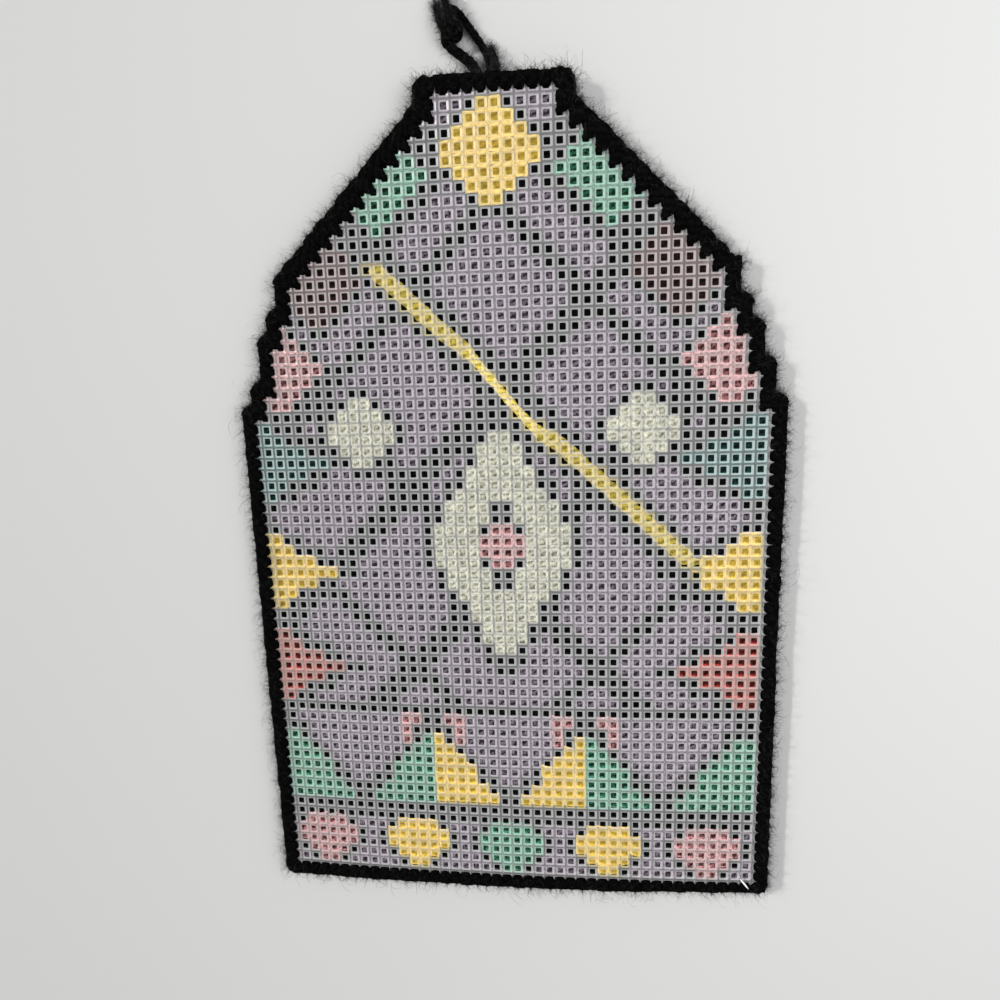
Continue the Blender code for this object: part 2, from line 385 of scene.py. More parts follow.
def floor_material():
    mat = bpy.data.materials.new("pale_board")
    tree, bsdf = nodes_of(mat)
    link = tree.links.new
    bsdf.inputs["Roughness"].default_value = 0.75
    bsdf.inputs["Specular IOR Level"].default_value = 0.2
    coords = add_node(tree, "ShaderNodeTexCoord")
    noise = add_node(tree, "ShaderNodeTexNoise", Scale=3.0, Detail=4.0)
    link(coords.outputs["Object"], noise.inputs["Vector"])
    ramp = add_node(tree, "ShaderNodeValToRGB")
    ramp.color_ramp.elements[0].color = (0.525, 0.528, 0.516, 1.0)
    ramp.color_ramp.elements[1].color = (0.545, 0.548, 0.536, 1.0)
    link(noise.outputs["Fac"], ramp.inputs["Fac"])
    link(ramp.outputs["Color"], bsdf.inputs["Base Color"])
    return mat


YARNS = {
    # the colour of the yarn; the painted shade on it deep in a hole of the
    # canvas and the painted light and shade on it under the bars; and the
    # yarn's colour painted into the plastic over it as a glow, with rims more
    # opaque as a painted highlight: colour and opacity of the flats, colour
    # and opacity of the rims
    "lavender": ((0.33, 0.275, 0.335), 0.295, 0.20, (1.0, 0.93, 1.0), 0.146,
                 (0.97, 0.89, 0.97), 0.365),
    "black": ((0.0028, 0.0028, 0.0028), 1.0, 1.0, (1.0, 1.0, 1.0), 0.130,
              (1.0, 1.0, 1.0), 0.320),
    "cream": ((0.63, 0.62, 0.49), 0.66, 0.38, (1.0, 1.0, 0.95), 0.142,
              (1.0, 0.99, 0.89), 0.34),
    "gold": ((0.77, 0.52, 0.07), 0.50, 1.40, (1.0, 0.93, 0.72), 0.210,
             (1.0, 0.85, 0.48), 0.38),
    "rose": ((0.41, 0.168, 0.172), 0.36, 1.40, (1.0, 0.82, 0.81), 0.230,
             (1.0, 0.79, 0.78), 0.399),
    "burgundy": ((0.17, 0.055, 0.055), 0.06, 0.18, (0.98, 0.83, 0.82), 0.124,
                 (0.98, 0.84, 0.84), 0.365),
    "crimson": ((0.42, 0.040, 0.032), 0.12, 1.10, (0.98, 0.64, 0.58), 0.268,
                (1.0, 0.77, 0.71), 0.345),
    "jade": ((0.055, 0.28, 0.15), 0.21, 0.8, (0.78, 1.0, 0.87), 0.190,
             (0.70, 1.0, 0.87), 0.417),
    "teal": ((0.05, 0.25, 0.22), 0.06, 0.40, (0.88, 1.0, 1.0), 0.117,
             (0.81, 1.0, 0.97), 0.390),
}
yarns = {k: yarn_material("yarn_" + k, v[0], sheen=0.0 if k == "black" else 0.15,
                          shine=0.02 if k == "black" else 0.10,
                          soft=0.12 if k in ("cream", "gold", "black") else 0.055)
         for k, v in YARNS.items()}
float_yarn = yarn_material("yarn_gold_float", (0.37, 0.285, 0.045))
edge_yarn = yarn_material("yarn_black_edge", (0.0024, 0.0024, 0.0024), sheen=0.0,
                          bump=0.8, shine=0.015)
fuzz_yarn = bpy.data.materials.new("yarn_black_fibres")
_tree, _bsdf = nodes_of(fuzz_yarn)
_bsdf.inputs["Roughness"].default_value = 0.8
_noise = add_node(_tree, "ShaderNodeTexNoise", Scale=300.0)
_ramp = add_node(_tree, "ShaderNodeValToRGB")
_ramp.color_ramp.elements[0].color = (0.004, 0.004, 0.004, 1.0)
_ramp.color_ramp.elements[1].color = (0.014, 0.014, 0.014, 1.0)
_tree.links.new(_noise.outputs["Fac"], _ramp.inputs["Fac"])
_tree.links.new(_ramp.outputs["Color"], _bsdf.inputs["Base Color"])

FILMS = sorted(YARNS)
films = [plastic_material("plastic_hole_sides", (0.97, 0.975, 0.965), 0.015)]
# the plastic over each yarn: the yarn's colour painted into it as a glow, rims more opaque as
# a painted highlight
for _name in FILMS:
    _flat, _flat_opacity, _rim, _rim_opacity = YARNS[_name][3:]
    films.append(plastic_material("plastic_flats_over_" + _name, _flat, _flat_opacity))
    films.append(plastic_material("plastic_rims_over_" + _name, _rim, _rim_opacity))
# the plastic over the carried strand, with its gold painted in as a glow
films.append(plastic_material("plastic_flats_over_strand", (1.0, 0.88, 0.60), 0.24))
films.append(plastic_material("plastic_rims_over_strand", (1.0, 0.90, 0.58), 0.40))
worked_plastic = plastic_material("plastic_worked", (0.93, 0.935, 0.93), 0.25)
burr_plastic = plastic_material("plastic_burr", (0.98, 0.98, 0.97), 0.95)


# --------------------------------------------------------------- the design
HALF_DIAMONDS = [
    # centre height of each motif that stands on the panel's side edges
    {"y": 5.0, "colour": "teal"},
    {"y": -5.0, "colour": "gold"},
    {"y": -14.0, "colour": "crimson"},
]
SLOPE_MOTIFS = [
    {"at": (9.5, 28.0), "reach": 4.6, "colour": "jade"},
    {"at": (15.0, 20.5), "reach": 4.2, "colour": "burgundy"},
    {"at": (19.0, 13.0), "reach": 4.0, "colour": "rose"},
]


def diamond(x, y, cx, cy, rx, ry):
    return abs(x - cx) / rx + abs(y - cy) / ry


def motif(x, y):
    """Colour of the stitch at x, y (pitches from the middle): a leaded
    lattice of lozenges over a sawtooth base, symmetrical left and right but
    for its wider slanting line."""
    ax = abs(x)
    if y < -18.5:
        return base_band(ax, y)
    if y < -17.0:
        return "black"
    d = diamond(x, y, 0, 29.5, 4.6, 4.2)
    if d < 1:
        return "gold"
    if d < 1.35:
        return "black"
    if -12.5 < x < 17.5 and 9.4 < x + y < 13.6:
        return "black"
    for m in SLOPE_MOTIFS:
        d = diamond(ax, y, m["at"][0], m["at"][1], m["reach"], m["reach"])
        if d < 1:
            return m["colour"]
        if d < 1.32:
            return "black"
    for m in HALF_DIAMONDS:
        d = diamond(ax, y, 22.5, m["y"], 7.2, 4.4)
        if d < 1:
            return m["colour"]
        if d < 1.3:
            return "black"
    d = diamond(x, y, 0, -2.5, 6.6, 11.2)
    if d < 0.28:
        return "rose"
    if d < 0.42:
        return "black"
    if d < 1:
        return "cream"
    if d < 1.18:
        return "black"
    d = diamond(ax, y, 12.0, 7.6, 3.4, 3.4)
    if d < 1:
        return "cream"
    if d < 1.4:
        return "black"
    if (x + y - 9.4) % 16.0 < 2.1 or (y - x - 9.4) % 16.0 < 2.1:
        return "black"
    return "lavender"


def base_band(ax, y):
    """Sawtooth of triangles, then a row of small diamonds."""
    if y > -27.5:
        fold = abs(((ax + 7.0) % 14.0) - 7.0)      # 7 at 0, 14; 0 at 7, 21
        line = -27.5 + fold * 1.22
        if y < line - 0.6:
            return "gold" if ax < 7 else "jade"
        if y < line + 1.0:
            return "black"
        return "rose" if abs(ax - 7.0) < 3.2 and y > -23.0 else "lavender"
    if y > -29.2:
        return "black"
    for cx, colour in ((0.0, "jade"), (9.0, "gold"), (18.0, "rose")):
        d = abs(ax - cx) + abs(y + 31.5)
        if d < 3.1:
            return colour
        if d < 4.1:
            return "black"
    return "lavender"


def stitched(i, row):
    return all(has_hole(i + a, row + b) for a in (0, 1) for b in (0, 1))


# ------------------------------------------------------------ canvas sheets
def canvas(name, levels, materials, chamfer, slots, low):
    """A perforated sheet.  levels: (half opening, z, kind of the band that
    follows, shift of the opening) from the top face down to the bottom face,
    half opening and shift as x, y in pitches.  slots gives the slot of each
    kind at each hole, low the kind of the underside."""
    mesh = Mesh()
    cells = [(i, row) for row in range(ROWS)
             for i in range(-HOLE_ROWS[row][0], HOLE_ROWS[row][1] + 1)]
    cell_set = set(cells)
    corner_index = {}
    corner_list = []
    for i, row in cells:
        for di, dr in ((0, 0), (1, 0), (1, 1), (0, 1)):
            key = (i + di, row + dr)      # corner at (i - 0.5 + di, row - 0.5 + dr)
            if key not in corner_index:
                corner_index[key] = len(corner_list)
                corner_list.append(key)
    spots = []
    for ci, cr in corner_list:
        x, y = ci - 0.5, row_y(cr - 0.5)
        push = np.zeros(2)
        for di, dr, sx, sy in ((-1, -1, -1, 1), (0, -1, 1, 1), (-1, 0, -1, -1), (0, 0, 1, -1)):
            if (ci + di, cr + dr) not in cell_set:
                push += (sx, sy)
        x += (BAR_OVER - 0.5) * np.sign(push[0])
        y += (BAR_OVER - 0.5) * np.sign(push[1])
        spots.append((x * PITCH, y * PITCH))
    spots = np.array(spots)
    lift = crown(spots[:, 0])
    z_top, z_low = levels[0][1], levels[-1][1]
    top = mesh.vertices(np.column_stack([spots, z_top + lift]), spots / PITCH)
    under = mesh.vertices(np.column_stack([spots, z_low + lift]), spots / PITCH)
    cells_a = np.array(cells)
    slots = np.array([slots(i, row) for i, row in cells])
    cx = cells_a[:, 0] * PITCH
    cy = np.array([row_y(r) for r in cells_a[:, 1]]) * PITCH
    # corner k of a cell, counter-clockwise from lower left as seen from above
    order = ((0, 1), (1, 1), (1, 0), (0, 0))
    corner = np.array([[corner_index[(i + a, r + b)] for a, b in order]
                       for i, r in cells])
    rings = []
    n = len(cells)
    wob = rng.uniform(-1, 1, (n, 2)) * 0.012 * PITCH
    for (wide, tall), z, _, (right, up) in levels:
        w, h = wide * PITCH, tall * PITCH
        if chamfer:
            c = min(chamfer, wide * 0.35) * PITCH
            shape = [(-w, -h + c), (-w + c, -h), (w - c, -h), (w, -h + c),
                     (w, h - c), (w - c, h), (-w + c, h), (-w, h - c)]
        else:
            shape = [(-w, -h), (w, -h), (w, h), (-w, h)]
        shape = np.array(shape)
        px = cx[:, None] + shape[None, :, 0] + right * PITCH + wob[:, :1]
        py = cy[:, None] + shape[None, :, 1] + up * PITCH + wob[:, 1:]
        co = np.stack([px, py, z + crown(px)], -1)
        base = mesh.vertices(co, np.stack([px, py], -1) / PITCH)
        rings.append(base + np.arange(n * len(shape)).reshape(n, len(shape)))
    count = rings[0].shape[1]
    for ring, outer, up, kind in ((rings[0], top + corner, True, 0),
                                  (rings[-1], under + corner, False, low)):
        slot = slots[:, kind]
        for k in range(4):
            m = (k + 1) % 4
            if chamfer:
                quad = np.stack([outer[:, k], outer[:, m], ring[:, (2 * k + 2) % 8],
                                 ring[:, 2 * k + 1]], -1)
                tri = np.stack([outer[:, k], ring[:, 2 * k + 1], ring[:, 2 * k]], -1)
                mesh.faces(quad if up else quad[:, ::-1], slot)
                mesh.faces(tri if up else tri[:, ::-1], slot)
            else:
                quad = np.stack([outer[:, k], outer[:, m], ring[:, m], ring[:, k]], -1)
                mesh.faces(quad if up else quad[:, ::-1], slot)
    for a, b, level in zip(rings, rings[1:], levels):
        quad = np.stack([a, np.roll(a, -1, 1), np.roll(b, -1, 1), b], -1)
        mesh.faces(quad.reshape(-1, 4), np.repeat(slots[:, level[2]], count))
    # the cut edge all round
    sides = {0: (0, 1), 1: (1, 0), 2: (0, -1), 3: (-1, 0)}
    edge = []
    for c, (i, row) in enumerate(cells):
        for k, (di, dr) in sides.items():
            if (i + di, row + dr) not in cell_set:
                a, b = corner[c, k], corner[c, (k + 1) % 4]
                edge.append((under + a, under + b, top + b, top + a))
    mesh.faces(np.array(edge), 0)
    return mesh.build(name, materials, smooth=False)


# the long carried strand of gold between the sheets, in pitches
CARRIED = [
    {"x": -10.6, "y": 21.7, "z": 3.0}, {"x": -9.9, "y": 21.0, "z": 3.7},
    {"x": -8.0, "y": 19.3, "z": 3.75}, {"x": -5.0, "y": 16.4, "z": 3.75},
    {"x": -2.8, "y": 14.5, "z": 3.72}, {"x": 0.0, "y": 11.1, "z": 3.72},
    {"x": 2.7, "y": 8.05, "z": 3.73}, {"x": 4.6, "y": 6.8, "z": 3.75},
    {"x": 7.0, "y": 4.55, "z": 3.75}, {"x": 11.0, "y": 0.8, "z": 3.75},
    {"x": 14.6, "y": -2.65, "z": 3.7}, {"x": 16.6, "y": -4.3, "z": 3.0},
]


def tightness(x):
    """How far the carried strand is drawn tight, 0 to 1."""
    tight = np.clip((x + 3.6) / 1.6, 0, 1) * np.clip((3.6 - x) / 1.6, 0, 1)
    return tight * tight * (3 - 2 * tight)


def on_strand(x, y):
    """Whether the carried strand lies under most of the hole at x, y."""
    for a, b in zip(CARRIED, CARRIED[1:]):
        dx, dy = b["x"] - a["x"], b["y"] - a["y"]
        t = ((x - a["x"]) * dx + (y - a["y"]) * dy) / (dx * dx + dy * dy)
        t = min(1.0, max(0.0, t))
        gap = math.hypot(x - a["x"] - t * dx, y - a["y"] - t * dy)
        if gap < 0.68 - 0.34 * tightness(x):
            return True
    return False


# for each hole, the plastic with the painted glow of the yarn under it
def film_slots(i, row):
    if on_strand(i, row_y(row)):
        return len(films) - 2, len(films) - 1, 0
    over = motif(i + 0.5, row_y(row + 0.5)) if stitched(i, row) else "black"
    first = 1 + 2 * FILMS.index(over)
    return first, first + 1, 0


plain = canvas("plain_canvas_mesh",
               [((0.407, 0.406), 5.2 * MM, 1, (0.085, -0.086)),
                ((0.256, 0.276), 4.95 * MM, 2, (0.040, -0.080)),
                ((0.268, 0.288), 4.2 * MM, 2, (0.040, -0.080))],
               films, 0.05, film_slots, 2)
worked = canvas("worked_canvas_mesh",
                [((0.30, 0.30), 2.95 * MM, 0, (0.0, 0.0)),
                 ((0.30, 0.30), 1.85 * MM, 0, (0.0, 0.0))],
                [worked_plastic], 0.0, lambda i, row: (0,), 0)


# ------------------------------------------------------------- the stitches
def stitches():
    """Half-cross stitch: a slant on the face, an upright on the back that
    fills a hole and lies under the bars round it."""
    front, back = {}, {}
    for row in range(ROWS - 1):
        for i in range(-22, 22):
            if not stitched(i, row):
                continue
            x, y = i + 0.5, row_y(row + 0.5)
            colour = motif(x, y)
            a = (i + 1, row_y(row + 1))
            b = (i, row_y(row))
            front.setdefault(colour, []).append((a, b))
            back.setdefault(colour, []).append(((i, row_y(row) + 0.51),
                                                (i, row_y(row) - 0.51)))
    return front, back


# along each strand: how far, and its height in mm
FRONT_PROFILE = [(0.0, 2.35), (0.24, 1.55), (0.5, 1.36), (0.76, 1.55), (1.0, 2.35)]
BACK_PROFILE = [(0.0, 3.38), (0.17, 3.28), (0.25, 3.05), (0.5, 2.72), (0.75, 3.05),
                (0.83, 3.28), (1.0, 3.38)]
# across a strand on the back, in halves of its width and thickness
BACK_RING = np.array([(1.0, 0.1), (0.64, 0.62), (0.52, 1.0), (-0.52, 1.0), (-0.64, 0.62),
                      (-1.0, 0.1), (0.0, -1.0)])


def strands(mesh, pairs, profile, half_width, half_thick, sides, **ring):
    pairs = np.array(pairs, float) * PITCH
    a, b = pairs[:, 0], pairs[:, 1]
    n = len(pairs)
    t, z = np.array(profile).T
    z = z * MM
    d = unit(b - a)
    side = np.stack([-d[:, 1], d[:, 0]], -1)
    shift = rng.normal(0, 0.10, (n, 1)) * MM
    bow = rng.normal(0, 0.10, (n, 1, 1)) * MM * np.sin(t * math.pi)[None, :, None]
    xy = a[:, None] + (b - a)[:, None] * t[None, :, None] \
        + side[:, None] * (shift[:, None] * np.sin(t * math.pi)[None, :, None] + bow)
    lift = crown(xy[..., 0])
    depth = np.where(z[None] > 2.8 * MM, rng.normal(0, 0.05, (n, 1)) * MM, 0.0)
    path = np.concatenate([xy, (z[None] + depth + lift)[..., None]], -1)
    lateral = np.broadcast_to(np.concatenate([side, np.zeros((n, 1))], -1)[:, None],
                              path.shape)
    width = np.asarray(half_width)[None] * MM * rng.uniform(0.95, 1.05, (n, 1))
    add_tubes(mesh, path, width, half_thick * MM, lateral, sides,
              tone_and_shade=rng.uniform(0.84, 1.16, n), **ring)


def back_strands(mesh, pairs, painted_shade_in_hole, painted_light_and_shade_under_bar):
    t = np.array([p[0] for p in BACK_PROFILE])
    along = np.abs(t - 0.5)[:, None]
    across = np.abs(BACK_RING[None, :, 0])
    on_top = BACK_RING[None, :, 1] > 0
    # painted light and shade on the yarn's top under the bars, painted shade on it deep in the
    # hole
    shade = np.where(on_top & (along > -1), painted_light_and_shade_under_bar, 1.0)
    shade[(along < 0.4) & (across < 0.7) & on_top] = painted_shade_in_hole
    # only its middle dips into the hole
    rise = np.where((across > 0.6) & on_top, 1.0, 0.0) * np.clip(1 - along / 0.34, 0, 1) \
        * 0.50 * MM
    strands(mesh, pairs, BACK_PROFILE, np.full(len(t), 1.95), 0.44, len(BACK_RING),
            ring=BACK_RING, rise=rise[None], shade=shade[None])


front, back = stitches()
stitch_pieces = []
for colour in sorted(set(front) | set(back)):
    mesh = Mesh()
    strands(mesh, front[colour], FRONT_PROFILE,
            1.30 * np.array([0.72, 0.91, 1.0, 0.91, 0.72]), 0.50, 5)
    # with this colour's painted shade in the holes and painted light and shade under the bars
    back_strands(mesh, back[colour], *YARNS[colour][1:3])
    stitch_pieces.append(mesh.build("stitches_" + colour, [yarns[colour]]))

def carried_strand():
    mesh = Mesh()
    rows = [{"x": r["x"] * PITCH / MM, "y": r["y"] * PITCH / MM, "z": r["z"]}
            for r in CARRIED]
    points, length = smooth_points(rows, 1.2 * MM)
    points[:, 2] += crown(points[:, 0])
    lateral = frame_along(points)
    lateral[:, 2] = 0
    run = np.linspace(0, 1, len(points))
    # fluffed out at both ends, drawn tight in the middle
    tight = tightness(points[:, 0] / PITCH)
    width = (2.55 - 1.15 * tight) * MM * (1 + 0.07 * np.sin(run * 95)
                                          + 0.05 * np.sin(run * 211 + 1.0))
    shade = 0.95 + 0.75 * tight
    add_tubes(mesh, points[None], width[None], 0.40 * MM, lateral[None], 12,
              plies=3, ply_depth=0.08, turns=length / (6 * MM),
              shade=shade[None, :, None])
    return mesh.build("carried_strand", [float_yarn]), length


carried, carried_length = carried_strand()


# ------------------------------------------------------ whip-stitched edging
def edge_stitches():
    """Each whip stitch: hole, outward direction, reach to the yarn's outside
    in pitches, how wide it spreads there, and how thick it lies."""
    out = []
    d45 = math.sqrt(0.5)
    # left and right: beside a hole, at a corner and in a notch of the slope,
    # and the same at the steps below it
    sizes = {-1: {"slope": (1.21, 1.79), "step": (1.19, 1.84), "side": 1.10},
             1: {"slope": (1.05, 1.62), "step": (1.14, 1.58), "side": 1.04}}
    for row in range(ROWS):
        for sign in (-1, 1):
            k = 0 if sign < 0 else 1
            last = HOLE_ROWS[row][k]
            above = HOLE_ROWS[row - 1][k] if row else None
            y = row_y(row)
            hole = (sign * last, y)
            size = sizes[sign]
            beside = size["side"]
            if sign < 0:
                beside += 0.07 * min(1.0, max(0.0, (4.0 - y) / 24.0))
            if row == 0:
                wide = 1.38 if sign < 0 else 1.20
                out.append((hole, (sign * 0.66, 0.75), wide - 0.06, 0.98, 1.0))
                out.append((hole, (sign * 0.95, 0.30), wide - 0.04, 0.95, 1.0))
                out.append((hole, (sign * 1.0, -0.12), wide, 0.95, 1.0))
                out.append((hole, (sign * 0.9, -0.44), wide, 0.95, 1.0))
                out.append((hole, (sign * 0.14, 0.99), 1.10, 0.95, 1.0))
            elif row == 1:
                wide = 1.50 if sign < 0 else 1.24
                out.append((hole, (sign * 1.0, 0.0), wide, 1.0, 1.0))
            elif row == ROWS - 1:
                low = 0.86 if sign > 0 else 1.16
                thick = 0.66 if sign > 0 else 1.0
                out.append((hole, (sign * d45, -d45), 0.94 if sign > 0 else 1.27, 1.0,
                            thick))
                out.append((hole, (sign * 0.97, -0.16), beside - 0.02, 0.95, 0.85))
                out.append((hole, (sign * 0.10, -0.99), low, 1.0, thick))
            elif above is not None and above < last and row <= 14:
                corner, notch = size["slope"]
                out.append((hole, (sign * d45, d45), corner, 0.98, 1.0))
                out.append(((sign * (last - 1), y), (sign * d45, d45), notch, 0.98, 1.0))
                if row == 14:
                    out.append((hole, (sign * 1.0, 0.0), beside, 0.98, 1.0))
            elif above is not None and above < last:
                corner, notch = size["step"]
                out.append((hole, (sign * 1.0, 0.0), beside, 1.0, 1.0))
                out.append((hole, (sign * d45, d45), corner, 0.92, 1.0))
                out.append((hole, (sign * 0.16, 0.98), 1.10, 0.86, 1.0))
                out.append(((sign * (last - 1), y), (sign * d45, d45), notch, 0.98, 1.0))
            else:
                out.append((hole, (sign * 1.0, 0.0), beside, 1.0, 1.0))
    for i in range(-4, 5):
        out.append(((i, row_y(0)), (0.0, 1.0), 1.18 - 0.16 * max(0, i) / 4.0, 1.0, 1.0))
    for i in range(-21, 22):
        reach = 1.20 - 0.05 * (i + 21) / 21.0 if i < 0 else 1.15 - 0.29 * (i / 21.0) ** 1.6
        thick = 1.0 - 0.36 * min(1.0, max(0.0, (i - 6) / 14.0))
        out.append(((i, row_y(ROWS - 1)), (0.0, -1.0), reach, 1.0, thick))
    return out


WHIP = [
    # along the stitch: how far out (0 hole, 1 outermost), height mm, half
    # width and half thickness in mm
    (0.00, 3.20, 1.00, 0.95), (-0.01, 4.72, 1.56, 1.02), (0.03, 5.34, 1.78, 0.90),
    (0.20, 5.66, 1.92, 0.72), (0.46, 5.78, 2.04, 0.72), (0.72, 5.66, 2.30, 0.76),
    (0.93, 5.12, 2.50, 0.84), (1.00, 4.10, 2.55, 0.88), (1.00, 2.30, 2.55, 0.88),
    (0.93, 1.35, 2.45, 0.84), (0.72, 0.78, 2.20, 0.66), (0.46, 0.68, 1.84, 0.60),
    (0.20, 0.68, 1.60, 0.58), (0.02, 0.95, 1.40, 0.80), (0.00, 1.80, 1.10, 0.95),
]


def whip_stitches():
    stitch = edge_stitches()
    n = len(stitch)
    hole = np.array([s[0] for s in stitch], float) * PITCH
    d = unit(np.array([s[1] for s in stitch], float))
    reach = np.array([s[2] for s in stitch]) * PITCH
    spread = np.array([s[3] for s in stitch])
    lie = np.array([s[4] for s in stitch])
    t = np.stack([-d[:, 1], d[:, 0]], -1)
    keys = np.array(WHIP)
    # two points between neighbouring keys, smoothed
    m = len(keys)
    fine = []
    for k in range(m):
        a, b, c, e = (keys[(k + s) % m] for s in (-1, 0, 1, 2))
        fine.append(b)
        fine.append((-a + 9 * b + 9 * c - e) / 16.0)
    fine = np.array(fine)
    m = len(fine)
    r = fine[:, 0][None] * (reach - 0.80 * MM * lie)[:, None]
    z = fine[:, 1][None] * MM + rng.normal(0, 0.05, (n, 1)) * MM
    # slant: the stitch leans along the edge as it goes over
    lean = rng.normal(0.16, 0.07, (n, 1)) * PITCH
    turn = np.sin(np.clip(fine[:, 0], 0, 1) * math.pi / 2)[None] * np.where(
        np.arange(m) < m * 0.5, 1.0, -1.0)[None]
    wobble = rng.normal(0, 0.16, (n, 1)) * MM
    offset = lean * turn * 0.5 + wobble * fine[:, 0][None]
    r = r * (1 + rng.normal(0, 0.036, (n, 1)))
    xy = hole[:, None] + d[:, None] * r[..., None] + t[:, None] * offset[..., None]
    path = np.concatenate([xy, (z + crown(xy[..., 0]))[..., None]], -1)
    lateral = np.concatenate([t, np.zeros((n, 1))], -1)[:, None]
    width = fine[:, 2][None] * MM * (1 + (spread[:, None] - 1) * fine[:, 0][None]) \
        * rng.uniform(0.97, 1.05, (n, 1))
    # a slanting stitch comes out of its hole narrower than the hole
    slant = np.abs(d[:, :1] * d[:, 1:]) * 2
    width = width * (1 - 0.40 * slant * np.clip(1 - fine[:, 0] / 0.22, 0, 1)[None])
    thick = fine[:, 3][None] * MM * rng.uniform(0.94, 1.06, (n, 1)) * (
        1 + (lie[:, None] - 1) * np.clip(fine[:, 0], 0, 1)[None])
    mesh = Mesh()
    co = add_tubes(mesh, path, width, thick, lateral, 8, closed=True, plies=2,
                   ply_depth=0.06, turns=2.0, tone_and_shade=rng.uniform(0.8, 1.2, n),
                   phase=rng.uniform(0, 2, n), power=0.52 + 0.35 * slant[:, 0])
    floor = crown(co[..., 0]) + 0.02 * MM
    np.maximum(co[..., 2], floor, out=co[..., 2])
    mesh.co[0] = co.reshape(-1, 3)
    outward = np.broadcast_to(np.concatenate([d, np.zeros((n, 1))], -1)[:, None, None],
                              co.shape)
    far = np.broadcast_to(fine[:, 0][None, :, None], co.shape[:3])
    # yarn fills each hole of the edge, up to just under the canvas's face
    centres = np.array(sorted({s[0] for s in stitch}), float) * PITCH
    square = np.array([(-1.0, -0.8), (-0.8, -1.0), (0.8, -1.0), (1.0, -0.8), (1.0, 0.8),
                       (0.8, 1.0), (-0.8, 1.0), (-1.0, 0.8)])
    rings = []
    for height, half in ((0.9, 0.90), (4.75, 1.02), (5.10, 0.82)):
        xy = centres[:, None] + square[None] * half * MM
        rings.append(mesh.vertices(np.concatenate(
            [xy, (height * MM + crown(xy[..., 0]))[..., None]], -1),
            np.concatenate([xy * 0 + height * 0.4, ], -1))
            + np.arange(len(centres) * 8).reshape(-1, 8))
    for a, b in zip(rings, rings[1:]):
        mesh.faces(np.stack([a, np.roll(a, -1, 1), np.roll(b, -1, 1), b], -1).reshape(-1, 4))
    mesh.faces(rings[0][:, ::-1])
    mesh.faces(rings[-1])
    return mesh.build("edge_whip_stitches", [edge_yarn]), co, path, outward, far


edging, whip_co, whip_path, whip_out, whip_far = whip_stitches()


# ------------------------------------------------------------------- fibres
def fibres(name, start, direction, length, radius, curl, material, parts=3):
    """Loose fibres: short curved hairs standing off the yarn, each a narrow
    ribbon run out to a point."""
    n = len(start)
    direction = unit(direction)
    side = unit(np.cross(direction, rng.normal(0, 1, (n, 3))))
    over = np.cross(direction, side)
    s = np.linspace(0, 1, parts + 1)[None, :, None]
    spin = rng.uniform(0, 2 * math.pi, (n, 1, 1))
    rate = rng.uniform(1.6, 5.2, (n, 1, 1))
    amp = (curl * length)[:, None, None] * rng.uniform(0.25, 1.0, (n, 1, 1))
    path = start[:, None] + direction[:, None] * s * length[:, None, None] \
        + side[:, None] * amp * (np.sin(spin + rate * s) - np.sin(spin)) \
        + over[:, None] * amp * (np.cos(spin + rate * s) - np.cos(spin))
    path[..., 2] = np.maximum(path[..., 2], 0.05 * MM)
    along = unit(np.gradient(path, axis=1))[:, :-1]
    roll = unit(rng.normal(0, 1, (n, 1, 3)))
    across = unit(np.cross(along, roll))
    taper = np.linspace(1.0, 0.6, parts)[None, :, None]
    reach = radius[:, None, None] * taper * across
    co = np.stack([path[:, :-1] - reach, path[:, :-1] + reach], 2)
    mesh = Mesh()
    pair = mesh.vertices(co) + np.arange(n * parts * 2).reshape(n, parts, 2)
    tip = mesh.vertices(path[:, -1]) + np.arange(n)
    a, b = pair[:, :-1], pair[:, 1:]
    mesh.faces(np.stack([a[..., 0], a[..., 1], b[..., 1], b[..., 0]], -1).reshape(-1, 4))
    mesh.faces(np.stack([pair[:, -1, 0], pair[:, -1, 1], tip], -1))
    return mesh.build(name, [material])


def edge_fibres():
    flat = whip_co.reshape(-1, 3)
    centre = np.repeat(whip_path.reshape(-1, 3), whip_co.shape[2], 0)
    out = whip_out.reshape(-1, 3)
    away = unit(flat - centre)
    facing = (away * out).sum(-1)
    up = away[:, 2]
    # mostly from the outer side, some from the top
    weight = np.clip(facing, 0, 1) ** 2 * (whip_far.ravel() > 0.85) \
        + 0.05 * np.clip(up, 0, 1)
    weight *= 1.0 + 0.15 * (flat[:, 0] > 0) + 0.3 * (flat[:, 1] < -0.125)
    weight /= weight.sum()
    pieces = []
    for k, count in enumerate((13000, 13000)):
        pick = rng.choice(len(flat), count, p=weight)
        start = flat[pick] - away[pick] * 0.15 * MM
        direction = away[pick] + out[pick] * 0.3 + rng.normal(0, 0.6, (count, 3))
        length = np.clip(rng.gamma(2.6, 0.62, count), 0.5, 3.8) * MM
        radius = rng.uniform(0.034, 0.056, count) * MM
        pieces.append(fibres("edge_fibres_%d" % (k + 1), start, direction, length,
                             radius, 0.62, fuzz_yarn))
    count = 640
    pick = rng.choice(len(flat), count, p=weight)
    start = flat[pick] - away[pick] * 0.15 * MM
    direction = away[pick] + out[pick] * 0.6 + rng.normal(0, 0.6, (count, 3))
    direction[:, 2] *= 0.4
    length = rng.uniform(2.2, 5.0, count) * MM
    radius = rng.uniform(0.032, 0.048, count) * MM
    pieces.append(fibres("edge_long_fibres", start, direction, length, radius, 0.75,
                         fuzz_yarn, parts=8))
    return pieces


edge_fuzz = edge_fibres()


